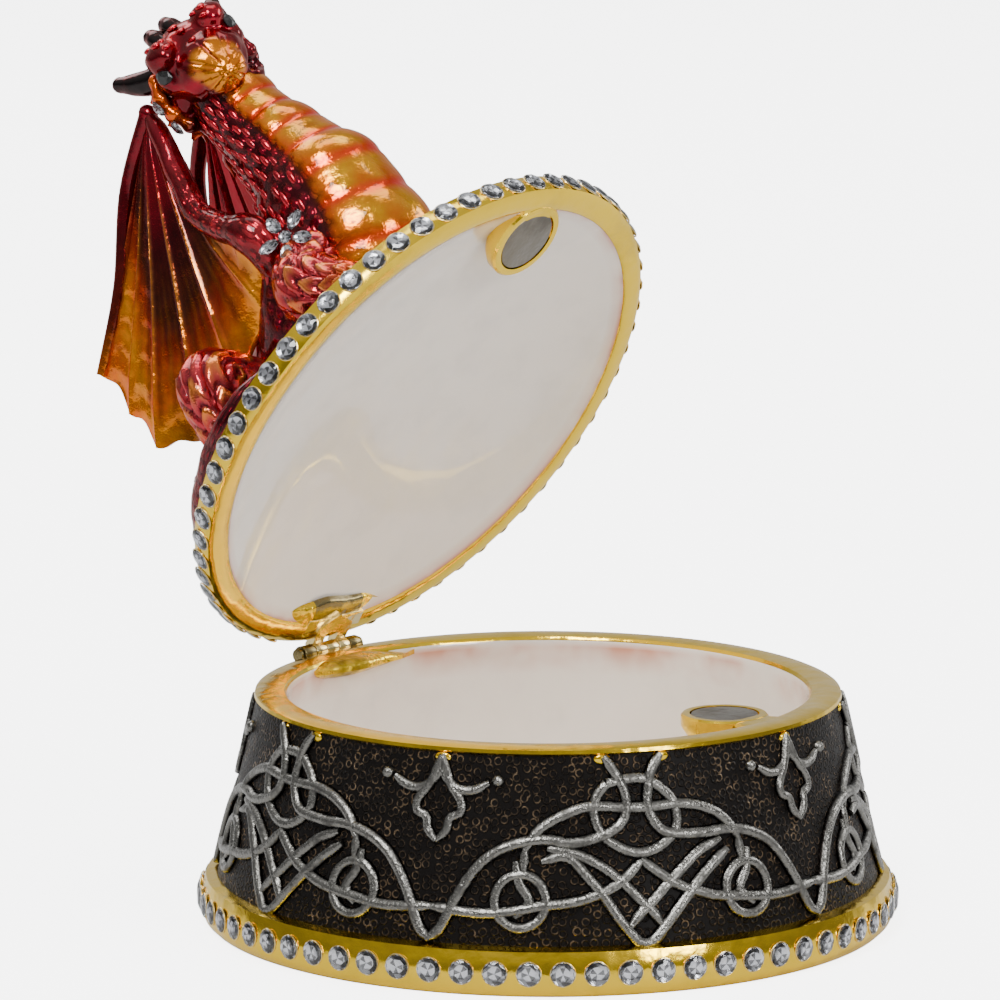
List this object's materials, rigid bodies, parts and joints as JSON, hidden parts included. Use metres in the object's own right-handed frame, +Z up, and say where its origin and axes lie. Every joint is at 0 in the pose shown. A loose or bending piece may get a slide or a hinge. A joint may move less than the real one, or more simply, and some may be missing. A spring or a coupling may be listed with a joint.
{
  "type": "dragon jewelry box",
  "caption": "Round metal trinket box with knotwork on its flared wall, a hinged domed lid with a magnet catch, and a seated dragon figure fixed on the lid.",
  "frame": {"origin": "centre of the round underside, on the surface the box stands on", "axes": "+Z up, +Y towards the hinge, so the box opens to the front, which is -Y; X runs along the hinge pin"},
  "size_m": [0.0808, 0.1033, 0.1027],
  "materials": {
    "dark_metal": "blackened cast metal with silver rubbed knotwork, gold plated rim and foot, white enamel inside",
    "gold_metal": "bright gold plating, white enamel inside",
    "hinge_metal": "polished gold plating",
    "magnet": "dull nickel plating",
    "red_enamel": "translucent red and amber enamel over bright metal",
    "black_stone": "polished black stone",
    "crystal": "clear faceted crystal"
  },
  "bodies": {
    "base": {"box_base": "dark_metal", "magnet_base": "magnet", "hinge_leaf_base": "hinge_metal", "hinge_pin": "hinge_metal"},
    "lid": {"box_lid": "gold_metal", "magnet_lid": "magnet", "hinge_leaf_lid": "hinge_metal", "dragon": "red_enamel", "eye_stone_right": "black_stone", "eye_stone_left": "black_stone", "dragon_crystal_cheek_1": "crystal", "dragon_crystal_cheek_2": "crystal", "dragon_crystal_flower_0": "crystal", "dragon_crystal_flower_1": "crystal", "dragon_crystal_flower_2": "crystal", "dragon_crystal_flower_3": "crystal", "dragon_crystal_flower_4": "crystal", "dragon_crystal_flower_5": "crystal"}
  },
  "joints": [
    {"name": "lid_hinge", "type": "hinge", "parent": "base", "child": "lid", "pos_m": [0, 0.03456, 0.02657], "axis": [1, 0, 0], "range_deg": [0, 59.28]}
  ]
}
